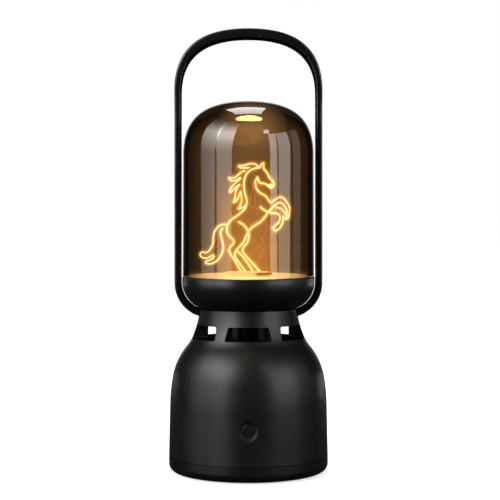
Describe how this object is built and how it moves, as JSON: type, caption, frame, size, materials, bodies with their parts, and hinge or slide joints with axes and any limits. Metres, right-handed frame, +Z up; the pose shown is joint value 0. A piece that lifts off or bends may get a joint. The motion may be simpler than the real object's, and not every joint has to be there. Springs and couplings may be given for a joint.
{
  "type": "night light",
  "caption": "Cordless lantern night light: a bell-shaped base with neck windows, a strap handle and a smoked glass dome over a glowing filament horse.",
  "frame": {"origin": "centre of the footprint on the surface that the lamp stands on", "axes": "+Z up; front, with the push button, towards -Y; the handle's loop lies in the XZ plane"},
  "size_m": [0.1, 0.1, 0.2779],
  "materials": {
    "black_plastic": "satin",
    "dark_plastic": "matte",
    "foot_rubber": "matte",
    "smoked_glass": "gloss",
    "lit_floor": "gloss",
    "filament_glow": "satin",
    "screw_steel": "satin",
    "contact_metal": "gloss",
    "board_laminate": "satin",
    "chip_black": "matte",
    "cell_wrap": "gloss",
    "wire_cover": "satin"
  },
  "bodies": {
    "lamp": {"base_shell": "black_plastic", "bottom_cover": "black_plastic", "foot_pads": "foot_rubber", "cover_screws": "screw_steel", "inner_deck": "dark_plastic", "deck_screws": "screw_steel", "neck_column": "dark_plastic", "handle": "black_plastic", "head_screws": "screw_steel", "bowl": "black_plastic", "lamp_board": "board_laminate", "lamp_board_screws": "screw_steel", "floor_plate": "lit_floor", "pedestal": "lit_floor", "filament_pins": "contact_metal", "dome_gasket": "foot_rubber", "dome": "smoked_glass", "horse_outline": "filament_glow", "horse_underline": "filament_glow", "horse_forelegs": "filament_glow", "horse_hindlegs": "filament_glow", "horse_mane": "filament_glow", "horse_tail": "filament_glow", "switch_body": "chip_black", "switch_board": "board_laminate", "switch_board_screws": "screw_steel", "main_board": "board_laminate", "main_board_screws": "screw_steel", "usb_socket": "contact_metal", "board_parts": "chip_black", "battery_cradle": "dark_plastic", "battery_cell": "cell_wrap", "cell_tabs": "contact_metal", "lamp_leads": "wire_cover", "battery_leads": "wire_cover", "switch_leads": "wire_cover"},
    "button": {"button_cap": "black_plastic", "switch_plunger": "chip_black"}
  },
  "joints": [
    {"name": "button_press", "type": "slide", "parent": "lamp", "child": "button", "axis": [0, 1, 0], "range_m": [0, 0.0005], "stiffness_N_per_m": 3200}
  ]
}
